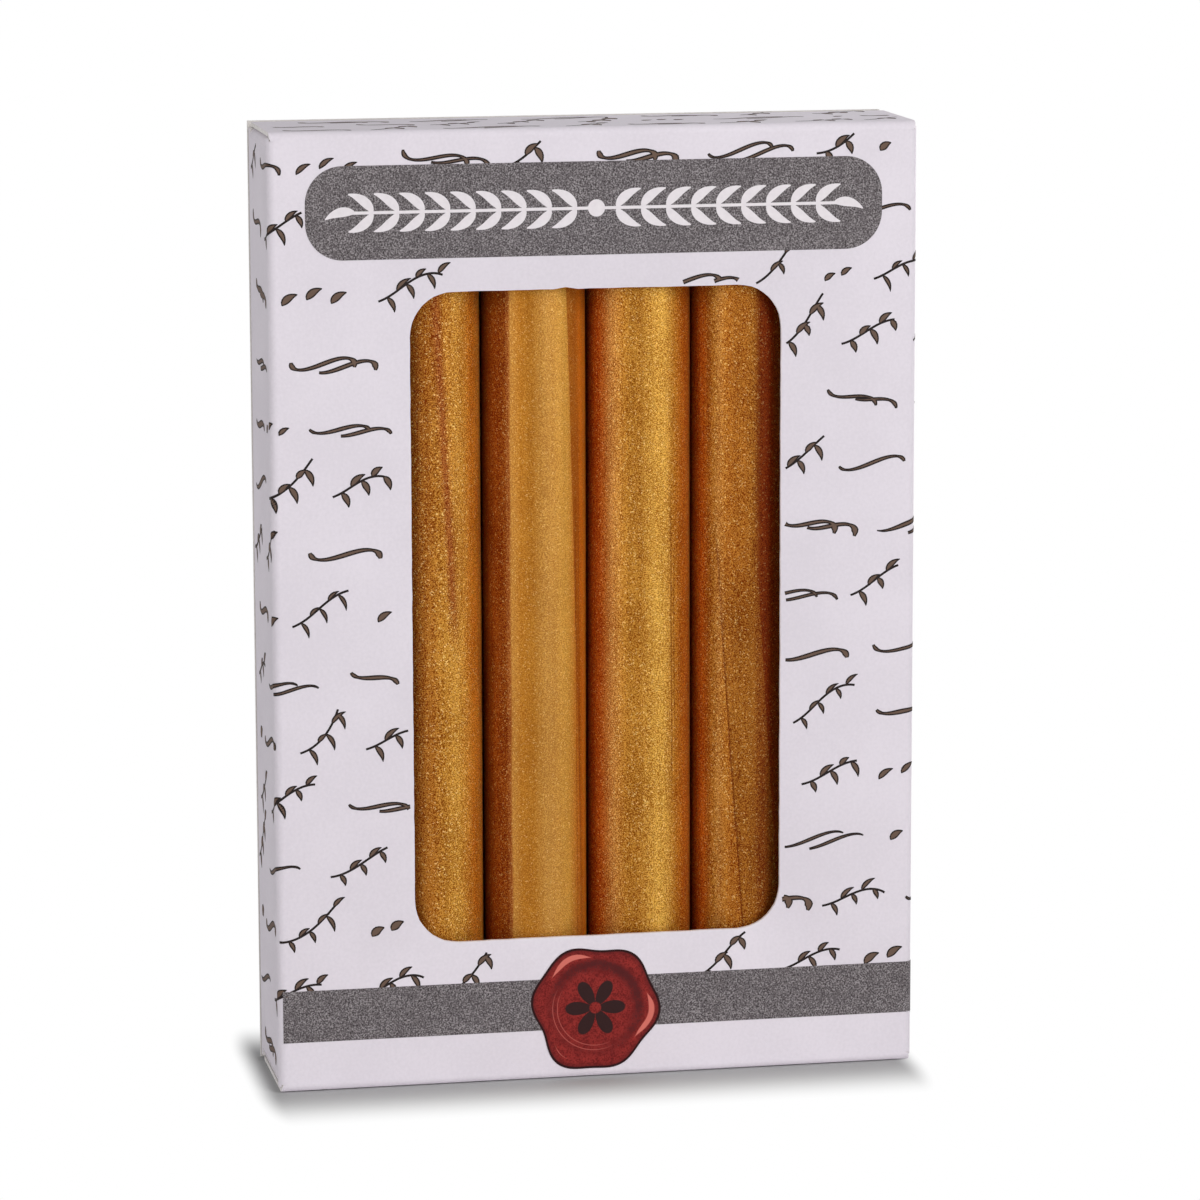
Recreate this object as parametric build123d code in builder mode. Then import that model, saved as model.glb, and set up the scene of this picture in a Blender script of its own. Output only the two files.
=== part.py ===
"""Boxed set of sealing wax sticks: six round sticks stand in one row inside a folded window carton.

The carton is one cut and creased sheet of board. Each panel and flap between two creases is a piece
here, and the flaps that open meet their neighbours along the middle of a rounded crease, so they can
turn about the outside of that crease. Millimetres, +Z up, the window faces -Y, origin under the middle.
"""
import os

from build123d import *

# Wax sticks and the room that the carton leaves around them
stick_count = 6
stick_diameter = 11.1
stick_length = 97.5
stick_end_round = 0.6
stick_gap = 0.12
stick_side_room = 0.2
stick_front_room = 0.55
stick_rear_room = 3.45
stick_head_room = 1.4
stick_seat_play = 0.2

# Board and its creases
board = 0.45
crease_inner_radius = 0.45

# Window in the front panel, by the widths of board left around it
window_side_margin = 14.6
window_top_margin = 16.75
window_bottom_margin = 15.45
window_corner_radius = 4.6

# Side seam: the flap at the rear of the left side, glued inside the back panel
glue_layer = 0.1
glue_flap_width = 11.0
glue_flap_setback = 12.0
glue_flap_taper = 3.0
glue_margin = 1.5

# Lids and the tongues that tuck down inside the back panel
lid_side_play = 0.2
tongue_length = 9.0
tongue_back_play = 0.6
tongue_side_inset = 0.8
tongue_corner_radius = 5.0

# Dust flaps under the lids, cut narrower towards the tip so that they rise clear of lid and tongue
dust_flap_length = 13.0
dust_flap_play = 0.1
dust_flap_tongue_play = 0.7
dust_flap_crease_inset = 0.3
dust_flap_front_slope = 0.4
dust_flap_rear_slope = 0.16
dust_flap_tip_radius = 1.5

# Sizes that follow from the values above
crease_radius = crease_inner_radius + board
inner_width = stick_count * stick_diameter + (stick_count - 1) * stick_gap + 2 * stick_side_room
inner_depth = stick_front_room + stick_diameter + stick_rear_room
dust_flap_level = board + dust_flap_play
dust_flap_stack = dust_flap_level + board
carton_width = inner_width + 2 * board
carton_depth = inner_depth + 2 * board
carton_height = 2 * dust_flap_stack + stick_seat_play + stick_length + stick_head_room
left_x = -carton_width / 2
right_x = carton_width / 2
front_y = -carton_depth / 2
back_y = carton_depth / 2
seam_y = back_y - board - glue_layer
tongue_y = back_y - board - tongue_back_play
mid_height = Plane.XY.offset(carton_height / 2)

os.makedirs("parts", exist_ok=True)


def board_section(length, start_crease, end_crease):
    """Section across a panel: outer face on the local x axis, board thickness towards +y.

    An end with a crease carries half of its quarter bend, up to the 45 degree parting line.
    """
    with BuildLine() as section:
        if start_crease:
            bend_start = (crease_radius, crease_radius)
            outer_start = CenterArc(bend_start, crease_radius, 225, 45)
            inner_start = CenterArc(bend_start, crease_inner_radius, 225, 45)
            start_outer, start_inner = outer_start @ 1, inner_start @ 1
            Line(outer_start @ 0, inner_start @ 0)
        else:
            start_outer, start_inner = Vector(0, 0), Vector(0, board)
            Line(start_outer, start_inner)
        if end_crease:
            bend_end = (length - crease_radius, crease_radius)
            outer_end = CenterArc(bend_end, crease_radius, 270, 45)
            inner_end = CenterArc(bend_end, crease_inner_radius, 270, 45)
            end_outer, end_inner = outer_end @ 0, inner_end @ 0
            Line(outer_end @ 1, inner_end @ 1)
        else:
            end_outer, end_inner = Vector(length, 0), Vector(length, board)
            Line(end_outer, end_inner)
        Line(start_outer, end_outer)
        Line(start_inner, end_inner)
    make_face(section.edges())


def finish(piece, name):
    """Label a finished piece and write it out."""
    piece.part.label = name
    export_step(piece.part, f"parts/{name}.step")


# Front panel: creased on all four sides, with the rounded window cut out of it
with BuildPart() as front_panel:
    with BuildSketch(Plane(origin=(left_x, front_y, 0), x_dir=(1, 0, 0), z_dir=(0, 0, 1))):
        board_section(carton_width, True, True)
    extrude(amount=carton_height)
    with BuildSketch(Plane(origin=(0, front_y, 0), x_dir=(0, 0, 1), z_dir=(-1, 0, 0))):
        board_section(carton_height, True, True)
    extrude(amount=carton_width, both=True, mode=Mode.INTERSECT)
    window_width = carton_width - 2 * window_side_margin
    window_height = carton_height - window_top_margin - window_bottom_margin
    window_centre_z = window_bottom_margin + window_height / 2
    with BuildSketch(Plane.XZ.offset(-front_y - crease_radius)):
        with Locations((0, window_centre_z)):
            RectangleRounded(window_width, window_height, window_corner_radius)
    extrude(amount=2 * crease_radius, mode=Mode.SUBTRACT)
finish(front_panel, "front_panel")

# Side panels: creased to the front, to the dust flaps and at the rear, shorter than the front panel so
# that the dust flaps lie under the lids
side_height = carton_height - 2 * dust_flap_level
with BuildPart() as right_side_panel:
    with BuildSketch(Plane(origin=(right_x, front_y, 0), x_dir=(0, 1, 0), z_dir=(0, 0, 1))):
        board_section(carton_depth, True, True)
    extrude(amount=carton_height)
    with BuildSketch(Plane(origin=(right_x, 0, dust_flap_level), x_dir=(0, 0, 1), z_dir=(0, -1, 0))):
        board_section(side_height, True, True)
    extrude(amount=carton_depth, both=True, mode=Mode.INTERSECT)
finish(right_side_panel, "right_side_panel")

with BuildPart() as left_side_panel:
    with BuildSketch(Plane(origin=(left_x, seam_y, 0), x_dir=(0, -1, 0), z_dir=(0, 0, 1))):
        board_section(seam_y - front_y, True, True)
    extrude(amount=carton_height)
    with BuildSketch(Plane(origin=(left_x, 0, dust_flap_level), x_dir=(0, 0, 1), z_dir=(0, 1, 0))):
        board_section(side_height, True, True)
    extrude(amount=carton_depth, both=True, mode=Mode.INTERSECT)
finish(left_side_panel, "left_side_panel")

# Back panel: creased to the right side, cut edges at the seam, the top and the bottom
with BuildPart() as back_panel:
    with BuildSketch(Plane(origin=(right_x, back_y, 0), x_dir=(-1, 0, 0), z_dir=(0, 0, 1))):
        board_section(carton_width, True, False)
    extrude(amount=carton_height)
finish(back_panel, "back_panel")

# Glue flap: behind the left side, with slanted ends that stay clear of the tongues
flap_edge_x = left_x + glue_flap_width
with BuildPart() as glue_flap:
    with BuildSketch(Plane(origin=(flap_edge_x, seam_y, 0), x_dir=(-1, 0, 0), z_dir=(0, 0, 1))):
        board_section(glue_flap_width, False, True)
    extrude(amount=carton_height)
    with BuildSketch(Plane.XZ):
        with BuildLine():
            Polyline(
                (left_x, glue_flap_setback),
                (flap_edge_x, glue_flap_setback + glue_flap_taper),
                (flap_edge_x, carton_height - glue_flap_setback - glue_flap_taper),
                (left_x, carton_height - glue_flap_setback),
                close=True,
            )
        make_face()
    extrude(amount=carton_depth, both=True, mode=Mode.INTERSECT)
finish(glue_flap, "glue_flap")

# Glue line between the glue flap and the back panel
glue_width = glue_flap_width - crease_radius - 2 * glue_margin
glue_end = glue_flap_setback + glue_flap_taper + glue_margin
with BuildPart() as seam_glue:
    with BuildSketch(Plane.XY.offset(glue_end)):
        with Locations((flap_edge_x - glue_margin, seam_y)):
            Rectangle(glue_width, glue_layer, align=(Align.MAX, Align.MIN))
    extrude(amount=carton_height - 2 * glue_end)
finish(seam_glue, "seam_glue")

# Top lid: creased to the front panel and, just inside the back panel, to its tongue
with BuildPart() as top_lid:
    with BuildSketch(Plane(origin=(0, front_y, carton_height), x_dir=(0, 1, 0), z_dir=(-1, 0, 0))):
        board_section(tongue_y - front_y, True, True)
    extrude(amount=right_x - lid_side_play, both=True)
finish(top_lid, "top_lid")

# Tuck tongue: hangs from the lid's rear crease, with large rounded corners at its free edge
tongue_half_width = right_x - lid_side_play - tongue_side_inset
with BuildPart() as top_tuck_tongue:
    with BuildSketch(Plane(origin=(0, tongue_y, carton_height), x_dir=(0, 0, -1), z_dir=(-1, 0, 0))):
        board_section(tongue_length, True, False)
    extrude(amount=tongue_half_width, both=True)
    tip_corners = top_tuck_tongue.edges().filter_by(Axis.Y).group_by(Axis.Z)[0]
    fillet(tip_corners, tongue_corner_radius)
finish(top_tuck_tongue, "top_tuck_tongue")

# Dust flap: folds in from the top of the left side, under the lid
dust_flap_tip_x = left_x + dust_flap_length
dust_flap_front_y = front_y + crease_radius + dust_flap_crease_inset
dust_flap_rear_y = tongue_y - board - dust_flap_tongue_play
with BuildPart() as top_left_dust_flap:
    flap_top = carton_height - dust_flap_level
    with BuildSketch(Plane(origin=(left_x, 0, flap_top), x_dir=(1, 0, 0), z_dir=(0, 1, 0))):
        board_section(dust_flap_length, True, False)
    extrude(amount=carton_depth, both=True)
    with BuildSketch(Plane.XY):
        with BuildLine():
            Polyline(
                (left_x, dust_flap_front_y),
                (dust_flap_tip_x, dust_flap_front_y + dust_flap_front_slope * dust_flap_length),
                (dust_flap_tip_x, dust_flap_rear_y - dust_flap_rear_slope * dust_flap_length),
                (left_x, dust_flap_rear_y),
                close=True,
            )
        plan = make_face()
        fillet(plan.vertices().group_by(Axis.X)[-1], dust_flap_tip_radius)
    extrude(amount=carton_height, mode=Mode.INTERSECT)
finish(top_left_dust_flap, "top_left_dust_flap")

with BuildPart() as top_right_dust_flap:
    mirror(top_left_dust_flap.part, about=Plane.YZ)
finish(top_right_dust_flap, "top_right_dust_flap")

# Bottom closure: the same lid, tongue and dust flaps, the other way up
with BuildPart() as bottom_lid:
    mirror(top_lid.part, about=mid_height)
finish(bottom_lid, "bottom_lid")

with BuildPart() as bottom_tuck_tongue:
    mirror(top_tuck_tongue.part, about=mid_height)
finish(bottom_tuck_tongue, "bottom_tuck_tongue")

with BuildPart() as bottom_left_dust_flap:
    mirror(top_left_dust_flap.part, about=mid_height)
finish(bottom_left_dust_flap, "bottom_left_dust_flap")

with BuildPart() as bottom_right_dust_flap:
    mirror(top_right_dust_flap.part, about=mid_height)
finish(bottom_right_dust_flap, "bottom_right_dust_flap")

# Wax sticks: cast rounds with softened ends, side by side. Those over a dust flap stand on it, and the
# ones in the middle stand on the bottom lid itself
stick_radius = stick_diameter / 2
stick_pitch = stick_diameter + stick_gap
stick_y = front_y + board + stick_front_room + stick_radius
for number in range(1, stick_count + 1):
    stick_x = (number - (stick_count + 1) / 2) * stick_pitch
    over_dust_flap = abs(stick_x) + stick_radius > right_x - dust_flap_length
    stick_foot = stick_seat_play + (dust_flap_stack if over_dust_flap else board)
    with BuildPart() as wax_stick:
        with BuildSketch(Plane.XY.offset(stick_foot)):
            with Locations((stick_x, stick_y)):
                Circle(stick_radius)
        extrude(amount=stick_length)
        fillet(wax_stick.edges(), stick_end_round)
    finish(wax_stick, f"wax_stick_{number}")
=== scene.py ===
"""Boxed sealing wax: a printed window carton of folded board, with six pearl-gold sticks standing in it."""
import math
import random
from collections import namedtuple

import bmesh
import bpy
from mathutils import Euler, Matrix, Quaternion, Vector


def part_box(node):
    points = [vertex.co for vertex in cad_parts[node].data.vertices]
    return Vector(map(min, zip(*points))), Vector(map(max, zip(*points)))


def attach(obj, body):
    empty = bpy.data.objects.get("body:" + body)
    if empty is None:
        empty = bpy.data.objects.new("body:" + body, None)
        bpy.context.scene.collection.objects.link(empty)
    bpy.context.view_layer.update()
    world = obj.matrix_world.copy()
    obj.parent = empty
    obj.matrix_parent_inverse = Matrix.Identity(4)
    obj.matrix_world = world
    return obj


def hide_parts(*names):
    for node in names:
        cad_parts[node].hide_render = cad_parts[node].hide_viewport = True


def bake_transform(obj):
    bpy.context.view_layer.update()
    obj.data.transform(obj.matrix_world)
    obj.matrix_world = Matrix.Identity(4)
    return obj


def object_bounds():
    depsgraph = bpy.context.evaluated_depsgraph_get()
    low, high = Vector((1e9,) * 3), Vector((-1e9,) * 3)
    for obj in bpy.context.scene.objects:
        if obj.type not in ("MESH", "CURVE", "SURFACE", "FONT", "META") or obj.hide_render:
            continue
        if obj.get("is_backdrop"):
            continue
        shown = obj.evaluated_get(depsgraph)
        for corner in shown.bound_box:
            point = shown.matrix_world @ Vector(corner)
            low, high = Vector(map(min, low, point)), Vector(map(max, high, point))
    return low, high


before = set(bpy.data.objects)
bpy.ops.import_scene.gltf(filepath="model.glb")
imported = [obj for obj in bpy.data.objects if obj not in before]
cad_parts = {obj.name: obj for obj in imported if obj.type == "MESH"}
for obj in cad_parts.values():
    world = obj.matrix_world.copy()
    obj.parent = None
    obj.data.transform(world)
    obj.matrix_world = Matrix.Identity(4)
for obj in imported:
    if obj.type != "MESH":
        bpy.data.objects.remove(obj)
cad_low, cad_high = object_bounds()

# Front panel: white folding board, coated and printed outside, die-cut with a rounded window. It is creased
# to the side panels and to both lids. Shapes are drawn in millimetres, and each finished piece is
# turned into metres as its object is made.
mm = 0.001
width, depth, height = ((high - low) / mm for low, high in zip(cad_low, cad_high))
front_y = cad_low.y / mm
back_y = cad_high.y / mm
right_x = width / 2
board = 0.45
crease_radius = 0.9
crease_steps = 6
fold_degrees = 90
flat_half_width = right_x - crease_radius
window_half_width = 19.65
window_foot = 15.45
window_head = 84.35
window_corner = 4.6
window_surround = 1.0
window_nick_x = -3.4
window_nick_width = 0.7
window_nick_depth = 0.22
die_step = 1.3
die_wander = 0.025
cut_softness = 0.05
softened_degrees = 60
squarely = 0.99
turned_towards = 0.5
coated_white = (224, 217, 225)
coated_shade = (217, 210, 218)
plain_white = (214, 209, 206)
plain_shade = (200, 195, 191)
core_white = (240, 236, 235)
core_shade = (214, 209, 206)


def screen_colour(colour):
    """A wire as it is, or a colour in 0 to 255 screen values as the linear one that shaders take."""
    if isinstance(colour, Wire):
        return colour
    linear = [(c / 255 / 12.92) if c <= 10 else ((c / 255 + 0.055) / 1.055) ** 2.4 for c in colour]
    return (*linear, 1.0)


class Wire:
    """An output of a material's nodes. Arithmetic on wires adds Math nodes."""

    def __init__(self, tree, socket=None):
        self.tree = tree
        self.socket = socket

    def node(self, kind, settings=(), inputs=(), output=0):
        """Add a node of any kind: settings first, then its sockets' values or links."""
        node = self.tree.nodes.new(kind)
        for name, value in dict(settings).items():
            if name == "stops":
                ramp = node.color_ramp.elements
                ramp.remove(ramp[1])
                ramp[0].position, ramp[0].color = value[0]
                for place, colour in value[1:]:
                    ramp.new(place).color = colour
            else:
                setattr(node, name, value)
        for name, value in dict(inputs).items():
            if isinstance(value, Wire):
                self.tree.links.new(value.socket, node.inputs[name])
            else:
                node.inputs[name].default_value = value
        return Wire(self.tree, node.outputs[output] if node.outputs else None)

    def maths(self, operation, first, second=0.0):
        return self.node("ShaderNodeMath", {"operation": operation}, {0: first, 1: second})

    def __add__(self, other):
        return self.maths("ADD", self, other)

    __radd__ = __add__

    def __sub__(self, other):
        return self.maths("SUBTRACT", self, other)

    def __rsub__(self, other):
        return self.maths("SUBTRACT", other, self)

    def __mul__(self, other):
        return self.maths("MULTIPLY", self, other)

    __rmul__ = __mul__

    def __truediv__(self, other):
        return self.maths("DIVIDE", self, other)

    def __pow__(self, other):
        return self.maths("POWER", self, other)

    def cosine(self):
        return self.maths("COSINE", self)

    def absolute(self):
        return self.maths("ABSOLUTE", self)

    def at_least(self, other):
        return self.maths("MAXIMUM", self, other)

    def part(self, axis):
        """The X, Y or Z part of a vector."""
        return self.node("ShaderNodeSeparateXYZ", {}, {"Vector": self}, output=axis)

    def ease(self, low, high):
        """0 below low, 1 above high, with a soft step between; low above high turns it round."""
        return self.node(
            "ShaderNodeMapRange",
            {"interpolation_type": "SMOOTHSTEP"},
            {"Value": self, "From Min": low, "From Max": high},
        )

    def noise(self, size, detail=2.0, stretch=(1.0, 1.0, 1.0)):
        """Cloudy noise from 0 to 1 with blotches of about size millimetres. The wire is a place vector."""
        place = self.node("ShaderNodeMapping", {"vector_type": "POINT"}, {"Vector": self, "Scale": stretch})
        inputs = {"Vector": place, "Scale": 1 / (size * mm), "Detail": detail}
        return self.node("ShaderNodeTexNoise", {}, inputs)

    def mix(self, first, second):
        """Colour between first and second, with this wire as the factor."""
        inputs = {0: self, 6: screen_colour(first), 7: screen_colour(second)}
        return self.node("ShaderNodeMix", {"data_type": "RGBA"}, inputs, output=2)

    def tinted(self, colour, share=1.0, blend="MULTIPLY"):
        """This colour with a share of another multiplied into it, or mixed in by another blend."""
        settings = {"data_type": "RGBA", "blend_type": blend}
        return self.node("ShaderNodeMix", settings, {0: share, 6: self, 7: screen_colour(colour)}, output=2)

    def bump(self, height):
        """Surface tilt from this wire, whose step from 0 to 1 is a rise of height millimetres."""
        return self.node("ShaderNodeBump", {}, {"Height": self, "Distance": height * mm}, output="Normal")


def new_finish(name):
    """An empty material, the start of its wires, and the place on the surface in metres."""
    material = bpy.data.materials.new(name)
    material.use_nodes = True
    material.node_tree.nodes.clear()
    start = Wire(material.node_tree)
    return material, start, start.node("ShaderNodeTexCoord", output="Object")


def close_finish(start, inputs):
    """End a material in one Principled surface with these sockets."""
    surface = start.node("ShaderNodeBsdfPrincipled", {}, inputs)
    start.node("ShaderNodeOutputMaterial", {}, {"Surface": surface})


def board_finish(name, colour, shade, roughness, fibre_height):
    """Paper board: faint cloudiness and specks in its white, and fibres that break the gloss."""
    material, start, place = new_finish(name)
    cloud = place.noise(9.0, 3.0)
    speck = place.noise(0.35, 2.0)
    fibre = place.noise(0.5, 4.0, (1.0, 1.0, 0.35))
    tone = (cloud * 0.5 + speck * 0.5).ease(0.3, 0.7)
    close_finish(start, {
        "Base Color": tone.mix(shade, colour),
        "Roughness": roughness + 0.16 * fibre,
        "Specular IOR Level": 0.28,
        "Normal": (fibre + 0.6 * speck).bump(fibre_height),
    })
    return material


coated_face = board_finish("coated_face", coated_white, coated_shade, 0.58, 0.006)
plain_face = board_finish("plain_face", plain_white, plain_shade, 0.78, 0.02)
cut_core = board_finish("cut_core", core_white, core_shade, 0.85, 0.04)
board_finishes = [coated_face, plain_face, cut_core]
outside_slot, inside_slot, cut_slot = range(3)


def flat_piece(outline, through, hole=()):
    """A flat piece: an outline of points, perhaps with a hole, as thick as the vector through."""
    solid = bmesh.new()
    for loop in filter(None, (outline, hole)):
        corners = [solid.verts.new(point) for point in loop]
        for first, second in zip(corners, corners[1:] + corners[:1]):
            solid.edges.new((first, second))
    bmesh.ops.triangle_fill(solid, use_beauty=True, use_dissolve=not hole, edges=solid.edges[:])
    pulled = bmesh.ops.extrude_face_region(solid, geom=solid.faces[:])
    moved = [part for part in pulled["geom"] if isinstance(part, bmesh.types.BMVert)]
    bmesh.ops.translate(solid, vec=through, verts=moved)
    bmesh.ops.recalc_face_normals(solid, faces=solid.faces[:])
    return solid


def bend_face(solid, face, centre, axis, degrees, steps):
    """Carry on the board from one of its end faces, bent round an axis."""
    geometry = [face, *face.edges, *face.verts]
    turn = math.radians(degrees)
    bmesh.ops.spin(solid, geom=geometry, cent=centre, axis=axis, angle=turn, steps=steps, use_duplicate=False)


def end_face(solid, direction):
    """The face that looks most squarely along a direction, and lies furthest out."""
    towards = Vector(direction)
    facing = [face for face in solid.faces if face.normal.dot(towards) > squarely]
    return max(facing, key=lambda face: face.calc_center_median().dot(towards))


def half_crease(solid, side, centre, turn):
    """Half of an upright rounded crease, up to where the next panel takes over; turn is 1 or -1."""
    bend_face(solid, end_face(solid, side), (*centre, 0), (0, 0, 1), turn * fold_degrees / 2, crease_steps)


def standing_corners(left, right, y, foot, head):
    """The corners of an upright rectangle, along its foot and back along its head."""
    return [(left, y, foot), (right, y, foot), (right, y, head), (left, y, head)]


def rounded_corners(points, radii, steps=10):
    """An outline with each corner turned into an arc of its radius; 0 leaves a corner as it is."""
    outline = []
    for number, (point, radius) in enumerate(zip(points, radii)):
        corner = Vector(point)
        before = (Vector(points[number - 1]) - corner).normalized()
        after = (Vector(points[(number + 1) % len(points)]) - corner).normalized()
        if not radius:
            outline.append(corner)
            continue
        half_angle = before.angle(after) / 2
        reach = radius / math.tan(half_angle)
        centre = corner + (before + after).normalized() * radius / math.sin(half_angle)
        first = corner + before * reach - centre
        last = corner + after * reach - centre
        turn = first.rotation_difference(last)
        for step in range(steps + 1):
            outline.append(centre + Quaternion().slerp(turn, step / steps) @ first)
    return outline


def make_object(name, solid, materials, sharp_degrees=35):
    """Turn a drawn solid into a smooth-shaded object in metres."""
    bmesh.ops.scale(solid, vec=(mm, mm, mm), verts=solid.verts[:])
    mesh = bpy.data.meshes.new(name)
    for face in solid.faces:
        face.smooth = True
    solid.to_mesh(mesh)
    solid.free()
    mesh.set_sharp_from_angle(angle=math.radians(sharp_degrees))
    for material in materials:
        mesh.materials.append(material)
    piece = bpy.data.objects.new(name, mesh)
    bpy.context.scene.collection.objects.link(piece)
    return piece


def board_object(name, solid, outward, is_cut):
    """Finish a board solid: coated outside, plain inside, softened cut edges where is_cut says so."""
    bmesh.ops.recalc_face_normals(solid, faces=solid.faces[:])
    outside = Vector(outward).normalized()
    for face in solid.faces:
        slope = face.normal.dot(outside)
        bare = abs(slope) < turned_towards and is_cut(face.calc_center_median(), face.normal)
        face.material_index = cut_slot if bare else outside_slot if slope > 0 else inside_slot
    cut_faces = {face for face in solid.faces if face.material_index == cut_slot}
    rims = [edge for edge in solid.edges if sum(face in cut_faces for face in edge.link_faces) == 1]
    sharp = [edge for edge in rims if edge.calc_face_angle(0) > math.radians(softened_degrees)]
    bmesh.ops.bevel(
        solid, geom=sharp, offset=cut_softness, affect="EDGES", segments=2, profile=0.5, material=-1,
        clamp_overlap=True,
    )
    piece = make_object(name, solid, board_finishes)
    return piece


def panel_object(name, solid, outward, is_cut, node, body="carton"):
    """A finished board panel that stands for a node of the frame and moves with a body."""
    piece = board_object(name, solid, outward, is_cut)
    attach(piece, body)
    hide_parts(node)


def window_outline():
    """The die-cut window: rounded corners, a rule that wandered a little, and one small torn nick."""
    hand = random.Random(5)
    corners = standing_corners(-window_half_width, window_half_width, front_y, window_foot, window_head)
    straight = rounded_corners(corners, [window_corner] * 4)
    outline = []
    for first, second in zip(straight, straight[1:] + straight[:1]):
        pieces = max(1, round((second - first).length / die_step))
        for step in range(pieces):
            point = first.lerp(second, step / pieces)
            point.x += hand.uniform(-die_wander, die_wander)
            point.z += hand.uniform(-die_wander, die_wander)
            outline.append(point)
    for point in outline:
        at_head = point.z > window_head - window_surround
        if at_head and abs(point.x - window_nick_x) < window_nick_width:
            point.z += window_nick_depth
    return outline


front_corners = standing_corners(
    -flat_half_width, flat_half_width, front_y, crease_radius, height - crease_radius,
)
front = flat_piece(front_corners, (0, board, 0), window_outline())
for side in (-1, 1):
    half_crease(front, (side, 0, 0), (side * flat_half_width, front_y + crease_radius), side)


def cut_in_window(centre, normal):
    between = window_foot - window_surround < centre.z < window_head + window_surround
    return between and abs(centre.x) < window_half_width + window_surround


panel_object("front_panel_board", front, (0, -1, 0), cut_in_window, "front_panel")

# Side panels: the narrow walls of the sleeve, creased to the front and at the rear. Their top and bottom
# edges are cut a little higher on both sides of the dust flap, and lower where that flap's crease starts.
flap_gap = 0.1
flap_level = board + flap_gap
flap_inset = 0.3
flap_front_y = front_y + crease_radius + flap_inset
flap_rear_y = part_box("top_left_dust_flap")[1].y / mm
flap_fold_z = height - flap_level - crease_radius
lid_clearance = 0.15
wall_top_z = height - board - lid_clearance
seam_layer = 0.1
seam_y = back_y - board - seam_layer


def mirrored_height(z):
    return height - z


def cut_facing(axes):
    """A test for the faces that look along one of these axes."""
    return lambda centre, normal: any(abs(getattr(normal, axis)) > turned_towards for axis in axes)


for side, name, rear_y in ((-1, "left_side", seam_y), (1, "right_side", back_y)):
    wall_x = side * right_x
    upper = [
        (rear_y - crease_radius, wall_top_z),
        (flap_rear_y, wall_top_z),
        (flap_rear_y, flap_fold_z),
        (flap_front_y, flap_fold_z),
        (flap_front_y, wall_top_z),
        (front_y + crease_radius, wall_top_z),
    ]
    lower = [(y, mirrored_height(z)) for y, z in reversed(upper)]
    wall = flat_piece([(wall_x, y, z) for y, z in upper + lower], (-side * board, 0, 0))
    inner_x = wall_x - side * crease_radius
    half_crease(wall, (0, -1, 0), (inner_x, front_y + crease_radius), -side)
    half_crease(wall, (0, 1, 0), (inner_x, rear_y - crease_radius), side)
    panel_object(f"{name}_board", wall, (side, 0, 0), cut_facing("yz"), f"{name}_panel")

# Back panel: the full wall behind, of the same coated board. It is creased to the right side and cut square
# at both ends and at the seam, where it is glued over the flap of the left side.
edge_margin = 0.1
back = flat_piece(standing_corners(-right_x, flat_half_width, back_y, 0, height), (0, -board, 0))
half_crease(back, (1, 0, 0), (flat_half_width, back_y - crease_radius), -1)


def cut_at_back(centre, normal):
    return abs(normal.z) > turned_towards or centre.x < -right_x + edge_margin


panel_object("back_panel_board", back, (0, 1, 0), cut_at_back, "back_panel")

# Glue flap: a tapered strip behind the left side, bent in against the back panel, with a thin line of
# dried white glue that was rolled on between the two and squeezed out unevenly.
glue_edge_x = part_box("glue_flap")[1].x / mm
glue_flap_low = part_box("glue_flap")[0].z / mm
glue_flap_taper = 3.0
glue_bend_x = -flat_half_width
glue_corners = [
    (glue_bend_x, seam_y, glue_flap_low),
    (glue_edge_x, seam_y, glue_flap_low + glue_flap_taper),
    (glue_edge_x, seam_y, mirrored_height(glue_flap_low + glue_flap_taper)),
    (glue_bend_x, seam_y, mirrored_height(glue_flap_low)),
]
glue_flap = flat_piece(glue_corners, (0, -board, 0))
half_crease(glue_flap, (-1, 0, 0), (glue_bend_x, seam_y - crease_radius), 1)


def cut_on_glue_flap(centre, normal):
    return centre.x > glue_bend_x + edge_margin


panel_object("glue_flap_board", glue_flap, (0, 1, 0), cut_on_glue_flap, "glue_flap")

glue_low, glue_high = (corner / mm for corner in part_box("seam_glue"))
glue_rows = 60
glue_wander = 0.45
glue_slack = 0.005
glue_dull = (212, 206, 186)
glue_pale = (232, 228, 214)
glue_hand = random.Random(12)
glue_outline = []
for column, rows in ((glue_low.x, range(glue_rows + 1)), (glue_high.x, range(glue_rows, -1, -1))):
    for row in rows:
        wander = glue_hand.uniform(-glue_wander, glue_wander)
        z = glue_low.z + (glue_high.z - glue_low.z) * row / glue_rows
        glue_outline.append((column + wander, glue_high.y - glue_slack, z))
glue_line = flat_piece(glue_outline, (0, glue_low.y - glue_high.y + 2 * glue_slack, 0))
glue_finish, start, place = new_finish("dried_glue")
glue_cloud = place.noise(1.6, 3.0)
close_finish(start, {
    "Base Color": glue_cloud.mix(glue_dull, glue_pale),
    "Roughness": 0.3 + 0.25 * glue_cloud,
    "Normal": glue_cloud.bump(0.04),
})
seam_glue = make_object("seam_glue_line", glue_line, [glue_finish])
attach(seam_glue, "carton")
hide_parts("seam_glue")

# Lids, tuck tongues and dust flaps: what closes the sleeve at each end. Each is flat board beyond its
# crease, and the crease itself is a strip of the same board, bent a quarter turn.
tongue_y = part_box("top_tuck_tongue")[1].y / mm
tongue_tip_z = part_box("top_tuck_tongue")[0].z / mm
tongue_half_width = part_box("top_tuck_tongue")[1].x / mm
tongue_corner = 5.0
lid_half_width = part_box("top_lid")[1].x / mm
lid_front_y = front_y + crease_radius
lid_rear_y = tongue_y - crease_radius
lid_relief = 0.2
fold_z = height - crease_radius
flap_tip_x = -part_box("top_left_dust_flap")[1].x / mm
flap_bend_x = right_x - crease_radius
flap_z = height - flap_level
flap_front_slope = 0.4
flap_rear_slope = 0.16
flap_tip_corner = 1.5


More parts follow.
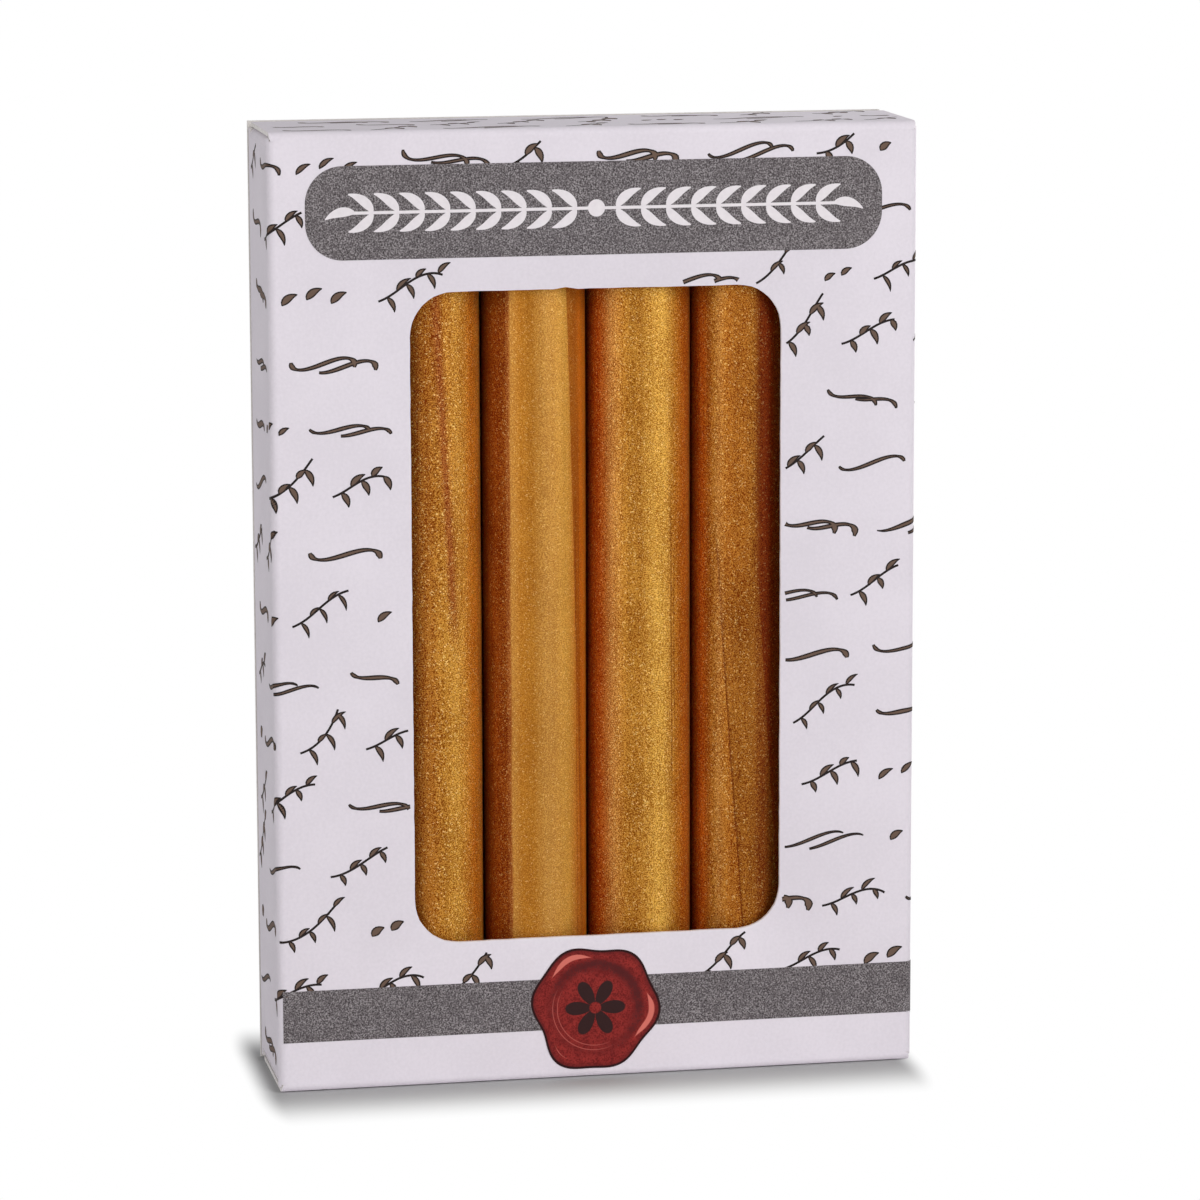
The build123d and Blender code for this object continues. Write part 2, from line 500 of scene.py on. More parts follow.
def to_end(solid, end):
    """Leave a piece drawn for the top where it is, or mirror it to the bottom of the carton."""
    if end == "bottom":
        bmesh.ops.scale(solid, vec=(1, 1, -1), verts=solid.verts[:])
        bmesh.ops.translate(solid, vec=(0, 0, height), verts=solid.verts[:])
    return solid


def end_height(z, end):
    return z if end == "top" else mirrored_height(z)


def lying_corners(half_width, front, rear, z):
    """The corners of a level rectangle, along its front and back along its rear."""
    return [(-half_width, front, z), (half_width, front, z), (half_width, rear, z), (-half_width, rear, z)]


def crease_strip(section, centre, axis, turn):
    """A quarter bend of board, from the section where the flat panel ends; turn is 1 or -1."""
    strip = bmesh.new()
    face = strip.faces.new([strip.verts.new(point) for point in section])
    bend_face(strip, face, centre, axis, turn * fold_degrees, 2 * crease_steps)
    return strip


def blend_across(piece, first, second, bend_start, bend_end):
    """Bake a piece's placement into its mesh."""
    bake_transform(piece)


def cut_on_tongue(centre, normal):
    return abs(centre.z - height / 2) < height / 2 - crease_radius - edge_margin


def cut_on_flap(centre, normal):
    return abs(centre.x) < flap_bend_x - edge_margin


def lid_bend(end):
    """Start and end of the crease from the front panel to a lid."""
    return (0, front_y, end_height(fold_z, end)), (0, lid_front_y, end_height(height, end))


for end in ("top", "bottom"):
    up = 1 if end == "top" else -1
    lid_name = f"{end}_lid"
    tongue_name = f"{end}_tuck_tongue"

    lid = flat_piece(lying_corners(lid_half_width, lid_front_y, lid_rear_y, height), (0, 0, -board))
    panel_object(f"{end}_lid_board", to_end(lid, end), (0, 0, up), cut_facing("x"), lid_name, lid_name)

    section = lying_corners(lid_half_width, front_y, front_y + board, fold_z)
    strip = crease_strip(section, (0, lid_front_y, fold_z), (1, 0, 0), -1)
    for vert in strip.verts:
        risen = (vert.co.z - fold_z) / crease_radius
        vert.co.x -= math.copysign(lid_relief * max(0.0, 1 - risen) ** 2, vert.co.x)
    lid_crease = board_object(f"{end}_lid_crease", to_end(strip, end), (0, -1, up), cut_facing("x"))
    blend_across(lid_crease, "carton", lid_name, *lid_bend(end))

    tongue_points = standing_corners(-tongue_half_width, tongue_half_width, tongue_y, fold_z, tongue_tip_z)
    tongue_outline = rounded_corners(tongue_points, [0, 0, tongue_corner, tongue_corner])
    tongue = to_end(flat_piece(tongue_outline, (0, -board, 0)), end)
    panel_object(f"{end}_tongue_board", tongue, (0, 1, 0), cut_on_tongue, tongue_name, tongue_name)

    section = standing_corners(-lid_half_width, lid_half_width, lid_rear_y, height, height - board)
    strip = crease_strip(section, (0, lid_rear_y, fold_z), (1, 0, 0), -1)
    for vert in strip.verts:
        fallen = (height - vert.co.z) / crease_radius
        vert.co.x -= math.copysign((lid_half_width - tongue_half_width) * min(1, fallen), vert.co.x)
    tongue_crease = board_object(f"{end}_tongue_crease", to_end(strip, end), (0, 1, up), cut_facing("x"))
    blend_across(
        tongue_crease, lid_name, tongue_name,
        (0, lid_rear_y, end_height(height, end)), (0, tongue_y, end_height(fold_z, end)),
    )

    for side, side_name in ((-1, "left"), (1, "right")):
        flap_name = f"{end}_{side_name}_dust_flap"
        tip_reach = right_x - flap_tip_x
        flap_points = [
            (side * flap_bend_x, flap_front_y + flap_front_slope * crease_radius, flap_z),
            (side * flap_tip_x, flap_front_y + flap_front_slope * tip_reach, flap_z),
            (side * flap_tip_x, flap_rear_y - flap_rear_slope * tip_reach, flap_z),
            (side * flap_bend_x, flap_rear_y - flap_rear_slope * crease_radius, flap_z),
        ]
        flap_outline = rounded_corners(flap_points, [0, flap_tip_corner, flap_tip_corner, 0])
        flap = flat_piece(flap_outline, (0, 0, -board))
        panel_object(f"{flap_name}_board", to_end(flap, end), (0, 0, up), cut_on_flap, flap_name, flap_name)

        section = [
            (side * right_x, flap_front_y, flap_fold_z),
            (side * right_x, flap_rear_y, flap_fold_z),
            (side * (right_x - board), flap_rear_y, flap_fold_z),
            (side * (right_x - board), flap_front_y, flap_fold_z),
        ]
        strip = crease_strip(section, (side * flap_bend_x, 0, flap_fold_z), (0, 1, 0), -side)
        for vert in strip.verts:
            inward = right_x - abs(vert.co.x)
            vert.co.y += inward * (flap_front_slope if vert.co.y < 0 else -flap_rear_slope)
        flap_crease = board_object(f"{flap_name}_crease", to_end(strip, end), (side, 0, up), cut_facing("y"))
        blend_across(
            flap_crease, "carton", flap_name,
            (side * right_x, 0, end_height(flap_fold_z, end)),
            (side * flap_bend_x, 0, end_height(flap_z, end)),
        )

# Pen flourishes: rows of sprigs, drops and swinging lines printed in brown ink round the sleeve and over the
# lids. A stroke is a hairline where the pen rose and swells where it was pressed down.
hairline = 0.12
pressed = 0.38
pen_slant = 0.6
pen_step = 0.24
stroke_tip = 0.4
tip_gain = 0.2
fall_sharpness = 1.5
middle_press = 0.45
row_pitch = 6.7
row_climb = 0.021
row_count = 15
first_row = 3.6
widest_indent = 4
figure_gap = (1.2, 3.6)
sprigs_below = 0.4
drops_below = 0.58
pen_weight = (0.8, 1.3)
stem_length = (5, 8)
stem_first_bend = 0.25
stem_last_bend = (-0.5, 0.1)
stem_heading = (-0.1, 0.4)
first_sprig_leaf = 4
sprig_leaf_every = 5
sprig_leaf = (1.3, 2.0)
sprig_leaf_heading = 0.3
sprig_leaf_turn = 0.9
sprig_leaf_weight = 0.8
leaf_curl = 0.5
leaf_tip = 0.12
leaf_belly = 0.8
drop_length = (1.2, 2.2)
drop_pitch = 1.3
drop_rise = 0.5
drop_heading = 1.1
swing_length = (6, 9)
swing_bend = (0.45, 0.8)
swing_heading = (0.0, 0.5)
echo_start = 5
echo_shift = (2.2, -0.4)
bare_foot_height = 5.6
front_margin = 1.2
side_margin = 1.9
seam_margin = 0.6
window_margin = 0.4
lid_margin = 0.9
seal_x = -0.4
seal_z = 7.6
seal_radius = 6.75
seal_margin = 1.4
shortest_scrap = 8
ink_film = 0.014
ink_swell = 0.02
ink_over_crease = 0.02
ink_weld = 0.0005
side_flat = depth - 2 * crease_radius
bend_length = crease_radius * math.pi / 2
side_end = flat_half_width + bend_length + side_flat
side_boldness = 1.5
bolder_within = 3.0
lid_boldness = 1.3
sheet_left = -(flat_half_width + bend_length + seam_y - front_y - 2 * crease_radius)
sheet_right = 2 * flat_half_width + 2 * bend_length + side_flat + right_x
outline_ink = (36, 29, 28)
wash_ink = (104, 84, 72)

ink_finish, start, place = new_finish("brown_ink")
depth_in_stroke = start.node("ShaderNodeAttribute", {"attribute_name": "stroke_depth"}, output="Fac")
uneven = place.noise(0.4, 3.0)
filled = (depth_in_stroke + 0.1 * uneven).ease(0.15, 0.26)
close_finish(start, {
    "Base Color": filled.mix(outline_ink, wash_ink),
    "Roughness": 0.5 + 0.2 * uneven,
    "Specular IOR Level": 0.12,
})


def round_crease(along, lift):
    """How far a point lies past a crease's start and out from its centre, that far along the bend."""
    reach = crease_radius + lift + ink_over_crease
    turn = along / crease_radius
    return reach * math.sin(turn), reach * math.cos(turn)


def sleeve_point(u, z, lift):
    """Where a point of the flat sheet comes to lie on the sleeve; u runs round it from the front's middle."""
    turning = math.copysign(1, u)
    along = abs(u) - flat_half_width
    if along <= 0:
        return Vector((u, front_y - lift, z))
    if along <= bend_length:
        past, out = round_crease(along, lift)
        return Vector((turning * (flat_half_width + past), lid_front_y - out, z))
    along -= bend_length
    if along <= side_flat:
        return Vector((turning * (right_x + lift), lid_front_y + along, z))
    along -= side_flat
    if along <= bend_length:
        past, out = round_crease(along, lift)
        return Vector((flat_half_width + out, back_y - crease_radius + past, z))
    return Vector((flat_half_width - along + bend_length, back_y + lift, z))


def lid_point(x, v, lift):
    """The same for the front's top edge and the lid; v starts where their crease starts."""
    if v <= 0:
        return Vector((x, front_y - lift, fold_z + v))
    if v <= bend_length:
        past, out = round_crease(v, lift)
        return Vector((x, lid_front_y - out, fold_z + past))
    return Vector((x, lid_front_y + v - bend_length, height + lift))


def lower_lid_point(x, v, lift):
    point = lid_point(x, v, lift)
    return Vector((point.x, point.y, mirrored_height(point.z)))


def scroll(length, first_bend, last_bend, heading):
    """A pen line whose bend, in radians per millimetre, changes evenly from its first to its last end."""
    x, y = 0.0, 0.0
    points = [(x, y)]
    steps = round(length / pen_step)
    for step in range(steps):
        heading += pen_step * (first_bend + (last_bend - first_bend) * (step + 0.5) / steps)
        x += pen_step * math.cos(heading)
        y += pen_step * math.sin(heading)
        points.append((x, y))
    low_x = min(x for x, y in points)
    low_y = min(y for x, y in points)
    return [(x - low_x, y - low_y) for x, y in points]


def pressed_line(points, weight):
    """Give each point of a slanted line its half width, widest on the way down and in the middle."""
    line = [(x + pen_slant * y, y) for x, y in points]
    last = len(line) - 1
    widths = []
    for number in range(last + 1):
        before, after = line[max(0, number - 1)], line[min(last, number + 1)]
        run = math.hypot(after[0] - before[0], after[1] - before[1]) or 1.0
        falling = max(0.0, (before[1] - after[1]) / run)
        middle = math.sin(math.pi * number / last) ** 2
        taper = min(1.0, stroke_tip + tip_gain * min(number, last - number))
        press = max(falling ** fall_sharpness, middle_press * middle)
        widths.append(taper * (hairline + (pressed * weight - hairline) * press))
    return [(x, y, half) for (x, y), half in zip(line, widths)]


def leaf(x, y, heading, length, half_width):
    """One pressed drop: thin at both ends and wide in the middle."""
    steps = max(4, round(length / pen_step))
    drop = []
    for step in range(steps + 1):
        part = step / steps
        turn = heading - leaf_curl * part
        half = half_width * (leaf_tip + (1 - leaf_tip) * math.sin(math.pi * part ** leaf_belly))
        drop.append((x + length * part * math.cos(turn), y + length * part * math.sin(turn), half))
    return drop


def sprig(pen, weight):
    """A bending stem with drops for leaves on both sides."""
    length = pen.uniform(*stem_length)
    stem = scroll(length, stem_first_bend, pen.uniform(*stem_last_bend), pen.uniform(*stem_heading))
    strokes = [[(x, y, hairline) for x, y in stem]]
    for number in range(first_sprig_leaf, len(stem) - 2, sprig_leaf_every):
        x, y = stem[number]
        side = 1 if number % 2 else -1
        heading = sprig_leaf_heading + sprig_leaf_turn * side
        half_width = sprig_leaf_weight * pressed * weight
        strokes.append(leaf(x, y, heading, pen.uniform(*sprig_leaf), half_width))
    return strokes


def flourish(pen):
    """One figure of the pattern: a sprig, a few loose drops, or one or two swinging lines."""
    kind = pen.random()
    weight = pen.uniform(*pen_weight)
    if kind < sprigs_below:
        return sprig(pen, weight)
    if kind < drops_below:
        size = pen.uniform(*drop_length)
        drops = [(drop_pitch * size * drop, drop_rise * (drop % 2)) for drop in range(pen.choice((1, 2, 3)))]
        return [leaf(x, y, drop_heading, size, pressed * weight) for x, y in drops]
    length = pen.uniform(*swing_length)
    bend = pen.uniform(*swing_bend)
    heading = pen.uniform(*swing_heading) - bend * length / 4
    swing = pressed_line(scroll(length, bend, -bend, heading), weight)
    shift_x, shift_y = echo_shift
    echo = [(x + shift_x, y + shift_y, half) for x, y, half in swing[len(swing) // echo_start:]]
    return pen.choice(([swing], [swing, echo]))


def inked_runs(line, may_ink):
    """Break a stroke off wherever may_ink says no, and leave out the scraps."""
    runs = [[]]
    for point in line:
        if may_ink(point[0], point[1]):
            runs[-1].append(point)
        elif runs[-1]:
            runs.append([])
    return [run for run in runs if len(run) > min(len(line) - 1, shortest_scrap)]


def even_boldness(u):
    return 1.0


def pen_rows(pen, left, right, rows, may_ink, boldness=even_boldness):
    """Rows of figures from left to right on slightly climbing lines."""
    strokes = []
    for baseline in rows:
        u = left + pen.uniform(0, widest_indent)
        while u < right:
            figure = flourish(pen)
            for line in figure:
                placed = [(u + x, baseline + row_climb * (u + x) + y, half) for x, y, half in line]
                weighted = [(along, z, boldness(along) * half) for along, z, half in placed]
                strokes += inked_runs(weighted, may_ink)
            u += max(x for line in figure for x, y, half in line) + pen.uniform(*figure_gap)
    return strokes


def printed_film(name, film, finish):
    """Finish a thin film of ink that lies on the board."""
    bmesh.ops.recalc_face_normals(film, faces=film.faces[:])
    ink = make_object(name, film, [finish])
    return ink


def ink_object(name, strokes, fold, lift, finish):
    """Thin swelling films of ink along strokes, laid on the folded board."""
    lines = bpy.data.curves.new(name, "CURVE")
    lines.dimensions = "3D"
    lines.twist_mode = "Z_UP"
    lines.bevel_depth = 1.0
    lines.bevel_resolution = 0
    lines.use_fill_caps = True
    for stroke in strokes:
        spline = lines.splines.new("POLY")
        spline.points.add(len(stroke) - 1)
        for point, (u, v, half) in zip(spline.points, stroke):
            point.co = (u, v, 0, 1)
            point.radius = half
    holder = bpy.data.objects.new(name, lines)
    mesh = bpy.data.meshes.new_from_object(holder)
    bpy.data.objects.remove(holder)
    film_of_ink = bmesh.new()
    film_of_ink.from_mesh(mesh)
    bpy.data.meshes.remove(mesh)
    bmesh.ops.remove_doubles(film_of_ink, verts=film_of_ink.verts[:], dist=ink_weld)
    stroke_depth = film_of_ink.verts.layers.float.new("stroke_depth")
    for vert in film_of_ink.verts:
        vert[stroke_depth] = max(0.0, vert.co.z)
        vert.co = fold(vert.co.x, vert.co.y, lift + ink_swell * vert.co.z)
    return printed_film(name, film_of_ink, finish)


def clear_of_window(u, z):
    """False inside the window and close to its cut edge."""
    middle = (window_foot + window_head) / 2
    across = abs(u) - window_half_width + window_corner
    along = abs(z - middle) - (window_head - window_foot) / 2 + window_corner
    outside = math.hypot(max(across, 0), max(along, 0)) + min(max(across, along), 0)
    return outside > window_corner + window_margin


def may_ink_sleeve(u, z):
    margin = side_margin if abs(u) > flat_half_width else front_margin
    inside = sheet_left + seam_margin < u < sheet_right - seam_margin and margin < z < height - margin
    return inside and clear_of_window(u, z)


def may_ink_front(u, z):
    bare_foot = abs(u) < flat_half_width and z < bare_foot_height
    by_seal = math.hypot(u - seal_x, z - seal_z) < seal_radius + seal_margin
    return may_ink_sleeve(u, z) and u < side_end and not bare_foot and not by_seal


def may_ink_back(u, z):
    return may_ink_sleeve(u, z) and u > side_end


def bolder_on_side(u):
    past_crease = min(1.0, max(0.0, (-flat_half_width - u) / bolder_within))
    return 1 + (side_boldness - 1) * past_crease


sleeve_rows = [first_row + row_pitch * row for row in range(row_count)]
front_rows_end = flat_half_width + 20
back_rows_start = flat_half_width + 16
pen = random.Random(53)
front_strokes = pen_rows(pen, sheet_left, front_rows_end, sleeve_rows, may_ink_front, bolder_on_side)
front_ink = ink_object("front_flourishes", front_strokes, sleeve_point, ink_film, ink_finish)
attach(front_ink, "carton")
pen = random.Random(31)
back_strokes = pen_rows(pen, back_rows_start, sheet_right, sleeve_rows[:-1], may_ink_back)
back_ink = ink_object("back_flourishes", back_strokes, sleeve_point, ink_film, ink_finish)
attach(back_ink, "carton")


def may_ink_lid(x, v):
    return abs(x) < lid_half_width - lid_margin and bend_length < v < lid_rear_y - lid_front_y + bend_length


def bolder_on_lid(u):
    return lid_boldness


lid_rows = (2, 6.8, 11.4)
for end, fold, seed in (("top", lid_point, 8), ("bottom", lower_lid_point, 17)):
    pen = random.Random(seed)
    lid_strokes = pen_rows(pen, -lid_half_width, lid_half_width, lid_rows, may_ink_lid, bolder_on_lid)
    lid_ink = ink_object(f"{end}_lid_flourishes", lid_strokes, fold, ink_film, ink_finish)
    blend_across(lid_ink, "carton", f"{end}_lid", *lid_bend(end))

# Grey print: a rounded plate above the window and a plain band below it, in a warm grey screened ink whose
# dots show as fine grain. The plate carries a white laurel.
plate_half_width = 30.4
plate_foot = 87.85
plate_head = 97.55
plate_corner = 3.9
plate_corner_steps = 14
band_foot = 5.4
band_head = 10.95
band_left = -33.75
band_right = 34.7
band_step = 0.1
grey_film = 0.03
grey_thickness = 0.012
screen_grey = (100, 94, 96)
screen_dark = (58, 52, 54)
screen_pale = (152, 146, 148)

grey_finish, start, place = new_finish("screened_grey")
grain = place.noise(0.16, 1.0)
patch = place.noise(1.4, 2.0)
grey = grain.ease(0.3, 0.5).mix(screen_dark, screen_grey)
close_finish(start, {
    "Base Color": (grain + 0.2 * patch).ease(0.58, 0.82).mix(grey, screen_pale),
    "Roughness": 0.5 + 0.15 * grain,
    "Specular IOR Level": 0.2,
})


def printed_patch(name, outline, lift, finish):
    """A flat patch of solid ink on the front panel."""
    patch_film = flat_piece([(x, front_y - lift, z) for x, z in outline], (0, grey_thickness, 0))
    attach(printed_film(name, patch_film, finish), "carton")


plate_corners = standing_corners(-plate_half_width, plate_half_width, 0, plate_foot, plate_head)
plate_rim = rounded_corners(plate_corners, [plate_corner] * 4, plate_corner_steps)
printed_patch("grey_plate", [(point.x, point.z) for point in plate_rim], grey_film, grey_finish)

band = bmesh.new()
band_start = [(band_left, band_foot, 0.0), (band_left, band_head, 0.0)]
low_corner, high_corner = (band.verts.new(point) for point in band_start)
band_edge = band.edges.new((low_corner, high_corner))
bend_steps = int((band_right - flat_half_width) / band_step)
round_bend = [flat_half_width + band_step * step for step in range(bend_steps + 1)]
stations = [-flat_half_width - 2 * band_step, -flat_half_width, *round_bend, band_right]
for station in stations:
    grown = bmesh.ops.extrude_edge_only(band, edges=[band_edge])["geom"]
    band_edge = next(part for part in grown if isinstance(part, bmesh.types.BMEdge))
    for vert in band_edge.verts:
        vert.co.x = station
pulled = bmesh.ops.extrude_face_region(band, geom=band.faces[:])["geom"]
for vert in (part for part in pulled if isinstance(part, bmesh.types.BMVert)):
    vert.co.z = grey_thickness
for vert in band.verts:
    vert.co = sleeve_point(vert.co.x, vert.co.y, grey_film - grey_thickness + vert.co.z)
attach(printed_film("grey_band", band, grey_finish), "carton")

laurel_half_length = 25.5
laurel_leaves = 9
leaf_length = 3.2
leaf_half_width = 0.5
leaf_spread = 1.15
first_leaf_place = 0.8
tip_room = 0.6
tip_inset = 0.3
tip_heading = 0.3
stem_half_width = 0.16
stem_steps = 40
berry_radius = 0.9
berry_steps = 24
white_film = 0.045
berry_film = 0.055
white_dull = (216, 209, 213)
white_bright = (232, 226, 229)

white_ink, start, place = new_finish("white_ink")
ink_cloud = place.noise(0.5, 2.0)
close_finish(start, {
    "Base Color": ink_cloud.mix(white_dull, white_bright),
    "Roughness": 0.5 + 0.2 * ink_cloud,
    "Specular IOR Level": 0.28,
})

plate_middle = (plate_foot + plate_head) / 2
laurel_pitch = laurel_half_length / (laurel_leaves + tip_room)
laurel_strokes = []
for side in (-1, 1):
    stem_places = [side * laurel_half_length * (step / stem_steps) for step in range(stem_steps + 1)]
    laurel_strokes.append([(x, plate_middle, stem_half_width) for x in stem_places])
    for number in range(laurel_leaves):
        for rise in (-1, 1):
            leaf_x = laurel_pitch * (number + first_leaf_place)
            branch = leaf(leaf_x, 0, leaf_spread, leaf_length, leaf_half_width)
            laurel_strokes.append([(side * x, plate_middle + rise * y, half) for x, y, half in branch])
    tip = leaf(laurel_half_length - tip_inset, 0, tip_heading, leaf_length, leaf_half_width)
    laurel_strokes.append([(side * x, plate_middle + y, half) for x, y, half in tip])
laurel = ink_object("white_laurel", laurel_strokes, sleeve_point, white_film, white_ink)
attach(laurel, "carton")
turns = [2 * math.pi * step / berry_steps for step in range(berry_steps)]
berry_rim = [(berry_radius * math.cos(turn), plate_middle + berry_radius * math.sin(turn)) for turn in turns]
printed_patch("white_berry", berry_rim, berry_film, white_ink)

# Printed seal: the picture of a pressed wax seal in red over the grey band, with a lobed rim, a ring and a
# plain rosette. It is flat ink, so its light and shade are part of the print.
seal_film = 0.055
seal_steps = 144
# Each row of lobes: how many, how far they swell as a share of the radius, and their shift in radians.
lobes = ((6, 0.045, 0.6), (3, 0.03, -0.9), (4, 0.018, 2.0))
seal_rings = (4.1, 4.6)
hollow_from = 3.5
hollow_at = 4.8
hollow_to = 5.7
gloss_at = 0.86
petal_length = 2.9
eye_radius = 0.55
seal_deep = (100, 20, 20)
seal_red = (148, 44, 39)
hollow_red = (66, 22, 24)
gloss_pink = (208, 110, 98)
ring_pink = (176, 84, 76)
rosette_dark = (46, 24, 24)
rim_red = (84, 20, 22)
rim_dark = (40, 10, 12)

seal_outline = []
for step in range(seal_steps):
    angle = 2 * math.pi * step / seal_steps
    swell = sum(size * math.cos(count * angle + start_at) for count, size, start_at in lobes)
    reach = seal_radius * (1 + swell)
    seal_outline.append((seal_x + reach * math.cos(angle), seal_z + reach * math.sin(angle)))

seal_finish, start, place = new_finish("seal_print")
centred = place.node(
    "ShaderNodeMapping", {}, {"Vector": place, "Location": (-seal_x, 0, -seal_z), "Scale": (1 / mm,) * 3},
)
across = centred.part("X")
along = centred.part("Z")
angle = across.maths("ARCTAN2", along, across)
distance = (across * across + along * along) ** 0.5
lobed = 1.0
for count, size, start_at in lobes:
    lobed = lobed + size * (count * angle + start_at).cosine()
rim = distance / (seal_radius * lobed)
mottle = place.noise(0.9, 3.0)
dots = place.noise(0.16, 1.0)
red = (0.35 * mottle + 0.65 * dots).ease(0.36, 0.64).mix(seal_deep, seal_red)
hollow = distance.ease(hollow_from, hollow_at) * distance.ease(hollow_to, hollow_at)
hollow = hollow * (0.55 + 0.35 * (angle - 1.05).cosine())
red = (0.85 * (hollow + 2 * dots - 1).ease(0.1, 0.9)).mix(red, hollow_red)
swell = ((3 * angle + 0.4).cosine() + 0.5 * (2 * angle + 1.1).cosine()).ease(0.2, 1.3)
off_middle = (rim - gloss_at).absolute()
red = (0.05 * swell - off_middle).ease(0.0, 0.014).mix(red, gloss_pink)
lit_side = (angle + 2.4).cosine().ease(0.2, 0.8)
for ring in seal_rings:
    line = (distance - ring).absolute().ease(0.07, 0.02)
    red = (0.8 * line * lit_side).mix(red, ring_pink)
petal = (3 * angle).cosine().absolute() ** 0.7
rosette = (distance - petal_length * petal - 0.35).ease(0.1, -0.1) * distance.ease(eye_radius, 0.7)
red = rosette.mix(red, rosette_dark)
red = (0.5 * rim.ease(0.88, 0.95)).mix(red, rim_red)
close_finish(start, {
    "Base Color": rim.ease(0.955, 0.97).mix(red, rim_dark),
    "Roughness": 0.42 + 0.2 * dots,
    "Specular IOR Level": 0.15,
})
printed_patch("printed_seal", seal_outline, seal_film, seal_finish)

# Wax sticks: cast rounds of pearl-gold wax. The mica in the wax settles in long bands as it is poured, so
# each stick has its own run of colours round it, with streaks, scraped edges and drag lines from the mould.
# That run also holds painted highlights, reflections and shade, fixed round the stick.
stick_rings = 64
stick_steps = 160
end_round = 0.6
end_steps = 4
end_sink = 0.3
sink_rings = 4
relief_allowance = 0.05
round_wave = 0.02
long_wave = 0.012
mica_size = 0.115
flake_size = 0.15
mark_fade = 0.04
step_fade = 0.05
step_softness = 0.6
stick_weld = 0.001
stick_sharp_degrees = 60
first_stick_seed = 100
shaded_wax = (180, 146, 98)
lit_wax = (255, 206, 96)
mica_flash = (255, 222, 140)
ember = (186, 80, 8)
umber = (124, 48, 5)
brown = (158, 87, 20)
amber = (175, 94, 20)
honey = (186, 120, 38)
rose = (206, 138, 76)
dusty = (176, 108, 66)
toffee = (168, 84, 15)
straw = (196, 141, 68)
gold = (212, 156, 68)
pale_gold = (222, 172, 80)
orange = (214, 118, 20)
russet = (146, 67, 7)
rust = (157, 70, 6)
glow = (244, 150, 36)
wine = (160, 70, 34)
dusk_shadow = (128, 40, 4)
saffron = (204, 128, 36)
copper = (220, 112, 13)
marigold = (224, 152, 58)
# Degrees round each stick from its front, rising to the right, and the colour of the wax there. The colours
# hold painted light as well: gold near the front where the key lamp's highlight falls, orange on the side
# facing that lamp, a rose band on the left where the left lamp is reflected, and a redder ember towards the
# sides for light glowing through the wax in the shade.
stick_bands_and_light = {
    1: ((-180, ember), (-60, ember), (-20, honey), (10, gold), (40, orange), (90, ember)),
    2: (
        (-180, ember), (-60, ember), (-20, toffee), (-6, amber), (8, honey), (22, gold), (36, marigold),
        (46, glow), (58, glow), (100, ember),
    ),
    3: (
        (-180, ember), (-66, rust), (-37, rust), (-36, straw), (-24, honey), (-12, honey), (2, straw),
        (12, straw), (30, gold), (60, orange), (100, ember),
    ),
    4: (
        (-180, ember), (-60, ember), (-42, rose), (-26, honey), (-10, honey), (9, pale_gold),
        (18, pale_gold), (24, gold), (34, saffron), (46, orange), (100, ember),
    ),
    # On stick 5 the dark run from 9 to 40 degrees is a painted shadow of the window's right edge.
    5: (
        (-180, ember), (-62, copper), (-52, amber), (-42, honey), (-26, amber), (-8, amber), (0, brown),
        (9, umber), (22, dusk_shadow), (40, ember),
    ),
    6: ((-180, ember), (-60, ember), (-40, rose), (0, honey), (25, amber), (60, ember)),
}
# Strength of the mica grain in a stick's dark and in its pale bands.
Grain = namedtuple("Grain", "dark pale")
even_grain = Grain(1.0, 1.0)
stick_grain = {2: Grain(1.3, 1.3), 3: Grain(1.5, 0.55), 4: Grain(1.05, 1.05)}
# A streak from foot to top in degrees like the bands, with its half width and the softness of its edges.
# It runs from low to high as shares of the carton's height, and its wax stands out by rise in millimetres.
Mark = namedtuple("Mark", "top foot half soft colour strength low high rise")
stick_marks = {
    1: [Mark(10, 30, 6, 3, russet, 0.5, 0.2, 0.8, 0.02)],
    2: [
        Mark(4, 40, 14, 10, toffee, 0.45, 0.5, 1.1, 0.0),
        Mark(-10, 48, 5, 4.5, wine, 0.9, 0.47, 1.0, 0.0),
        Mark(-108, 67, 0.5, 0.5, russet, 0.4, 0.41, 0.45, -0.02),
    ],
    3: [
        Mark(42, 78, 18, 0.8, amber, 0.9, -0.1, 1.1, -0.05),
        Mark(60, 72, 14, 8, glow, 0.85, -0.1, 1.1, 0.0),
        Mark(-39, -39, 2.5, 1, dusty, 0.35, -0.1, 1.1, 0.0),
        Mark(42, 45, 0.9, 0.5, russet, 0.45, 0.1, 0.62, -0.03),
        Mark(47, 53, 0.9, 0.5, russet, 0.45, 0.05, 0.7, -0.03),
    ],
    4: [
        Mark(26, 31, 1.0, 0.6, russet, 0.8, 0.3, 0.6, -0.03),
        Mark(30, 35, 0.9, 0.6, russet, 0.7, 0.36, 0.55, -0.03),
        Mark(-30, -22, 1.0, 0.8, russet, 0.25, 0.6, 0.85, -0.02),
    ],
    5: [
        Mark(-73, 2, 1.2, 0.6, umber, 0.85, 0.02, 0.57, -0.03),
        Mark(-51, 24, 22, 1.0, brown, 0.7, 0.0, 0.52, -0.03),
        Mark(16, 16, 9, 7, umber, 0.45, -0.1, 0.55, 0.0),
        # The pale pink mark at -38 degrees on stick 5 is a painted reflection of the left lamp.
        Mark(-38, -38, 5, 5, dusty, 0.45, 0.05, 1.1, 0.0),
    ],
    6: [Mark(-10, 20, 4, 3, russet, 0.4, 0.3, 0.9, 0.0)],
}


